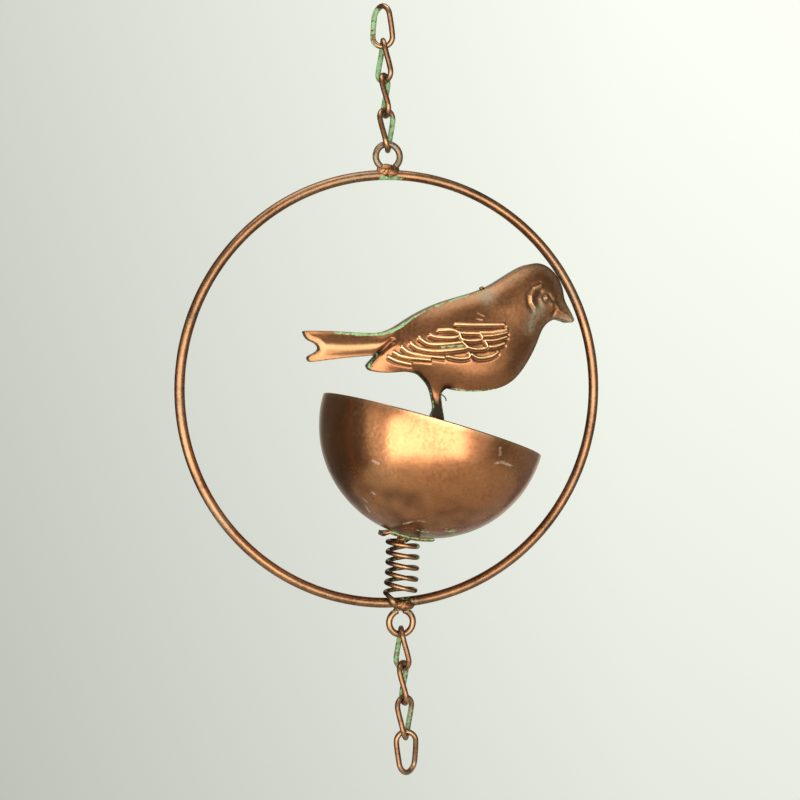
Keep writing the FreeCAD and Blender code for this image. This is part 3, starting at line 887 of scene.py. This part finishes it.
def bird_grid():
    """Outline and inner spots of the bird's face, joined into triangles."""
    low, high = bird_outline.min(0), bird_outline.max(0)
    rise = bird_step * math.sqrt(3) / 2
    spots = []
    for row, z in enumerate(np.arange(low[1], high[1], rise)):
        x = np.arange(low[0] + (row % 2) * bird_step / 2, high[0], bird_step)
        spots.append(np.stack([x, 0 * x + z], -1))
    spots = np.concatenate(spots)
    spots = spots[inside(spots, bird_outline)]
    spots = spots[line_distance(spots, bird_rim) > 0.6 * bird_step]
    count = len(bird_outline)
    edges = [(spot, (spot + 1) % count) for spot in range(count)]
    every = np.concatenate([bird_outline, spots])
    found = geometry.delaunay_2d_cdt([Vector(spot) for spot in every], edges, [], 1, 1e-6)
    return np.array([tuple(spot) for spot in found[0]]), [tuple(face) for face in found[2]], count


def eased(values, faces, rim_count, passes):
    """Values over the bird's face, evened out between neighbours, with the rim kept."""
    faces = np.array(faces)
    pairs = np.concatenate([faces[:, (0, 1)], faces[:, (1, 2)], faces[:, (2, 0)]])
    pairs = np.concatenate([pairs, pairs[:, ::-1]])
    count = np.bincount(pairs[:, 0], minlength=len(values))
    for _ in range(passes):
        even = np.bincount(pairs[:, 0], values[pairs[:, 1]], len(values)) / count
        values = np.where(np.arange(len(values)) < rim_count, values, even)
    return values


def bird_relief(spots, faces, rim_count):
    """Depth of the stamped half over each spot, and how near the spot is to each form of its relief."""
    rim = line_distance(spots, bird_rim)
    x = spots[:, 0]
    deep = tail_depth + (body_depth - tail_depth) * smooth(*tail_span, x)
    deep += (head_depth - body_depth) * smooth(*neck_span, x)
    share = np.clip((rim + bird_edge / 2) / (bird_roll + bird_edge / 2), 0, 1)
    depth = bird_edge + (deep - bird_edge) * np.sqrt(1 - (1 - share) ** 2)
    brow = np.interp(x, *np.array(under_points).T)
    leg = smooth(brow + 3.0, brow - 2.5, spots[:, 1]) * smooth(-9.0, -6.0, x) * smooth(7.0, 4.0, x)
    depth += (leg_depth * (0.75 + 0.25 * smooth(0.0, 1.2, rim)) - depth) * leg
    depth = eased(depth, faces, rim_count, bird_easing)
    wing_rim = line_distance(spots, wing_points + wing_points[:1])
    wing = np.where(inside(spots, np.array(wing_points)), wing_rim, -wing_rim)
    depth += wing_height * smooth(-3.0, 3.0, wing)
    crest = np.zeros(len(spots))
    trough = np.zeros(len(spots))
    broad = feather_width + feather_spread * smooth(0.0, -14.0, x)
    for feather in feathers:
        line = rounded(feather)
        crest = np.maximum(crest, hump(line_distance(spots, line), broad))
        trough = np.maximum(trough, hump(line_distance(spots, line - (0, trough_drop)), trough_width))
    trough = trough * (1 - crest)
    for feather in faint_feathers:
        crest = np.maximum(crest, 0.2 * hump(line_distance(spots, feather), feather_width))
    keep = smooth(0.0, 2.0, rim)
    depth += keep * (feather_height * crest - trough_depth * trough)
    form = {}
    for name, (line, width, height) in relief_lines.items():
        form[name] = hump(line_distance(spots, line), width)
        depth += keep * height * form[name]
    from_eye = np.linalg.norm(spots - bird_eye, axis=1)
    socket = hump(from_eye - socket_radius, socket_width)
    pupil = np.sqrt(np.clip(1 - (from_eye / pupil_radius) ** 2, 0, 1))
    depth += keep * (pupil_height * pupil - socket_depth * socket)
    form.update(rim=rim, leg=leg, wing=wing, crest=crest, trough=trough, from_eye=from_eye, socket=socket)
    return depth, form


def bird_masks(spots, form):
    """Masks of the wear, soot, film, verdigris, painted shade and painted sheen on the stamped half."""
    x, z = spots.T
    rim, leg, trough, from_eye = (form[name] for name in ("rim", "leg", "trough", "from_eye"))
    stain = hump(line_distance(spots, neck_stain), 2.4)
    patch = hump(np.linalg.norm(spots - back_stain, axis=1), 2.6)
    tip = hump(np.linalg.norm(spots - wing_tip_stain, axis=1), 0.9)
    notch = form["groove"] * smooth(-15.8, -20.2, x)
    edge = 1 - smooth(0.1, 1.2, rim)
    top = line_distance(spots, back_line)
    seam = 0.62 * hump(top - 0.6, 0.62) * smooth(-38.0, -31.0, x) * smooth(-6.0, -15.0, x)
    seam += 0.46 * hump(top - 0.30, 0.42) * smooth(-16.0, -10.0, x) * smooth(22.0, 8.0, x)
    belly = 0.40 * edge * smooth(3.0, 7.0, x) * smooth(24.0, 17.0, x) * smooth(14.0, 11.0, z)

    green = 0.14 * edge + 0.55 * hump(line_distance(spots, green_trough), 0.6) + 0.30 * notch + 0.10 * stain
    green += seam + belly + 0.55 * tip + 0.12 * patch + 0.08 * trough + 0.25 * leg * edge

    # Painted shade in the trough below each feather crest, along the outline and at the leg's edges.
    soot_and_shade = 0.40 * trough + 0.22 * form["groove"] + 0.70 * notch + 0.12 * form["socket"] + 0.10 * stain
    soot_and_shade += 0.30 * form["hollow"] + 0.26 * form["shade"] + 0.34 * edge + 0.20 * smooth(22.0, 34.0, x)
    soot_and_shade += 0.25 * form["gape"] + 0.10 * hump(from_eye, 5.0) + 0.12 * smooth(-1.0, 2.0, form["wing"])
    soot_and_shade += leg * (0.10 + 0.80 * smooth(7.0, 2.0, z) + 0.60 * (1 - smooth(0.3, 1.2, rim)))

    worn_and_highlight = 0.95 * form["crest"] + 0.10 * form["ridge"] * smooth(-14.0, -22.0, x)
    worn_and_highlight += 0.25 * form["ear"] + 0.9 * hump(from_eye, 0.35)

    # The film along the back's upper edge is dust with painted sheen.
    film = 0.75 * stain + 0.75 * patch + 0.30 * hump(top - 1.6, 1.5) * smooth(-10.0, 0.0, x)
    film += 0.16 * hump(from_eye - 1.4, 0.9) + 0.08 * form["hollow"]
    film += 0.30 * (1 - smooth(0.4, 3.4, rim)) * smooth(22.0, 28.0, x) * smooth(36.0, 30.0, z)
    return {"green": green, "dark": soot_and_shade, "bright": worn_and_highlight * (1 - leg), "film": film * (1 - leg)}


def bird_piece(node, side):
    """Stamped half with its edge wall and leg; side is -1 for the near half and 1 for the far one."""
    spots, faces, rim_count = bird_grid()
    depth, form = bird_relief(spots, faces, rim_count)
    masks = bird_masks(spots, form)
    face_points = np.stack([spots[:, 0], -depth, spots[:, 1]], -1)
    edge = spots[:rim_count]
    inward = unit((np.roll(edge, -1, 0) - np.roll(edge, 1, 0)) @ np.array([[0, 1], [-1, 0]]))
    walls = []
    for share, inset, _ in edge_rows:
        lip = edge + inward * inset
        walls.append(np.stack([lip[:, 0], -depth[:rim_count] * share, lip[:, 1]], -1))
    points = np.concatenate([face_points] + walls)
    starts = [0] + [len(spots) + row * rim_count for row in range(len(walls))]
    for upper, lower in zip(starts, starts[1:]):
        for spot in range(rim_count):
            after = (spot + 1) % rim_count
            faces.append((upper + spot, lower + spot, lower + after, upper + after))
    wall_count = rim_count * len(walls)
    masks = {name: np.concatenate([values, np.zeros(wall_count)]) for name, values in masks.items()}
    masks["green"][-wall_count:] = edge_green
    # Painted shade on the edge wall, row by row.
    masks["dark"][-wall_count:] = np.repeat([soot_and_shade for _, _, soot_and_shade in edge_rows], rim_count)
    if side < 0:
        path = np.insert(spline(whisker_points, whisker_step), 1, -whisker_reach, axis=1)
        strand, strand_faces, _ = tube(path, whisker_wire / 2, whisker_sides, False)
        faces += [tuple(len(points) + spot for spot in face) for face in strand_faces]
        points = np.concatenate([points, strand])
        for name, value in (("green", 0.1), ("dark", 0.9), ("bright", 0.0), ("film", 0.0)):
            masks[name] = np.concatenate([masks[name], np.full(len(strand), value)])
    else:
        points = points * (1, -1, 1)
        faces = [face[::-1] for face in faces]
    piece(node, leaned(points + bird_place), faces, finishes["bird"], "cup", **masks)


bird_piece("bird_front", -1)
bird_piece("bird_back", 1)

# Stage: a pale floor well below the chain
floor_radius = 0.46
floor_drop = 0.16
floor_sides = 128
floor_tone = (0.80, 0.81, 0.77)


def floor():
    """Plain round floor."""
    mesh = bpy.data.meshes.new("floor")
    turn = np.linspace(0, 2 * math.pi, floor_sides, endpoint=False)
    height = cad_box[0][2] - floor_drop
    mesh.from_pydata([(floor_radius * math.cos(a), floor_radius * math.sin(a), height) for a in turn], [],
                     [tuple(range(floor_sides))])
    finish = Shading(bpy.data.materials.new("floor_paper"))
    fibre = finish.span(finish.noise(1.5, 3.0), 0.3, 0.7)
    shaded = tuple(0.97 * tone for tone in floor_tone)
    finish.put(finish.shader.inputs["Base Color"], finish.mix(fibre, floor_tone, shaded))
    finish.shader.inputs["Roughness"].default_value = 0.8
    mesh.materials.append(finish.owner)
    shape = bpy.data.objects.new("floor", mesh)
    bpy.context.scene.collection.objects.link(shape)


floor()

# Light: a pale wall behind that brightens to the right, a dim room at the sides, and soft lamps by the camera
wall_tones = ((-0.26, 0.12), (-0.05, 0.57), (0.10, 0.68), (0.25, 0.79), (0.40, 0.90), (0.55, 0.95),
              (0.75, 0.30))
room_tones = ((-1.0, 0.30), (-0.4, 0.22), (0.0, 0.12), (0.5, 0.10))
wall_edge = (0.62, 0.80)
wall_rise = 0.38
wall_tint = (0.962, 1.0, 0.905)

# Lamps: azimuth and elevation about the hoop's middle, then distance, width and height in metres, and watts
lamps = (
    ("key", -21.5, -11.5, 0.9, 1.43, 0.71, 16.8),
    ("key_right", 30.0, -13.0, 0.9, 0.42, 0.70, 0.70),
    ("key_skirt", -21.0, -38.0, 0.9, 1.30, 0.16, 3.40),
    ("key_hem", -27.0, -48.0, 0.9, 0.90, 0.16, 0.55),
    ("side", -75.0, -8.0, 1.0, 0.36, 1.00, 0.98),
    ("top", -22.0, 74.0, 0.9, 0.80, 0.60, 5.4),
    ("right", 100.0, -15.0, 1.0, 1.00, 0.80, 0.45),
)


def world():
    """Room light by direction, with the wall filling the space behind."""
    sky = bpy.data.worlds.new("room")
    bpy.context.scene.world = sky
    room = Shading(sky, "Background")
    split = room.tree.nodes.new("ShaderNodeSeparateXYZ")
    room.put(split.inputs[0], room.place["Generated"])

    def by_direction(axis, tones, tint):
        ramp = room.tree.nodes.new("ShaderNodeValToRGB")
        room.put(ramp.inputs["Fac"], room.math("MULTIPLY_ADD", split.outputs[axis], 0.5, 0.5))
        stops = ramp.color_ramp.elements
        while len(stops) < len(tones):
            stops.new(0.5)
        for stop, (at, tone) in zip(stops, tones):
            stop.position = (at + 1) / 2
            stop.color = (*(tone * part for part in tint), 1.0)
        return ramp.outputs["Color"]

    tone = room.mix(room.span(split.outputs["Y"], *wall_edge),
                    by_direction("Y", room_tones, (1.0, 1.0, 1.0)), by_direction("X", wall_tones, wall_tint))
    room.put(room.shader.inputs["Color"], tone)
    room.put(room.shader.inputs["Strength"], room.math("MULTIPLY_ADD", split.outputs["Z"], wall_rise, 1.0))


def lamp(name, azimuth, elevation, distance, width, height, power):
    """Soft lamp that faces the hoop's middle from that side, with azimuth 0 at the front."""
    light = bpy.data.lights.new(name, "AREA")
    light.shape = "RECTANGLE"
    light.size = width
    light.size_y = height
    light.energy = power
    shape = bpy.data.objects.new(name, light)
    bpy.context.scene.collection.objects.link(shape)
    a, e = math.radians(azimuth), math.radians(elevation)
    toward = Vector((math.sin(a) * math.cos(e), -math.cos(a) * math.cos(e), math.sin(e)))
    shape.location = Vector((0, 0, hoop_z * MM)) + toward * distance
    shape.rotation_euler = toward.to_track_quat("Z", "Y").to_euler()
    shape.visible_camera = False


world()
for values in lamps:
    lamp(*values)

# Camera, fitted to the photograph: its turn about the upright hoop, and the pixel of the hoop's middle
picture = 800.0
focal = 1439.14
camera_turn = (-14.97, 2.06, 1.62)
camera_distance = 500.0
hoop_in_picture = (394.42, 389.71)


def camera():
    """Camera at the photograph's place, leaned with the hoop."""
    azimuth, elevation, roll = (math.radians(angle) for angle in camera_turn)
    back = np.array([math.sin(azimuth) * math.cos(elevation), -math.cos(azimuth) * math.cos(elevation),
                     math.sin(elevation)])
    level = heading(camera_turn[0])
    rise = np.cross(back, level)
    right = math.cos(roll) * level - math.sin(roll) * rise
    up = math.sin(roll) * level + math.cos(roll) * rise
    across = (hoop_in_picture[0] - picture / 2) / focal
    down = (hoop_in_picture[1] - picture / 2) / focal
    sight = unit(across * right - down * up - back)
    place = leaned(np.array([0, 0, hoop_z]) - sight * camera_distance) * MM
    lens = bpy.data.cameras.new("camera")
    lens.sensor_width = 36.0
    lens.lens = focal / picture * lens.sensor_width
    lens.clip_start = 0.01
    shape = bpy.data.objects.new("camera", lens)
    bpy.context.scene.collection.objects.link(shape)
    pose = np.eye(4)
    pose[:3, :3] = hang_turn @ np.stack([right, up, back], -1)
    pose[:3, 3] = place
    shape.matrix_world = Matrix(pose.tolist())
    bpy.context.scene.camera = shape


camera()
bpy.context.scene.view_settings.view_transform = "Standard"
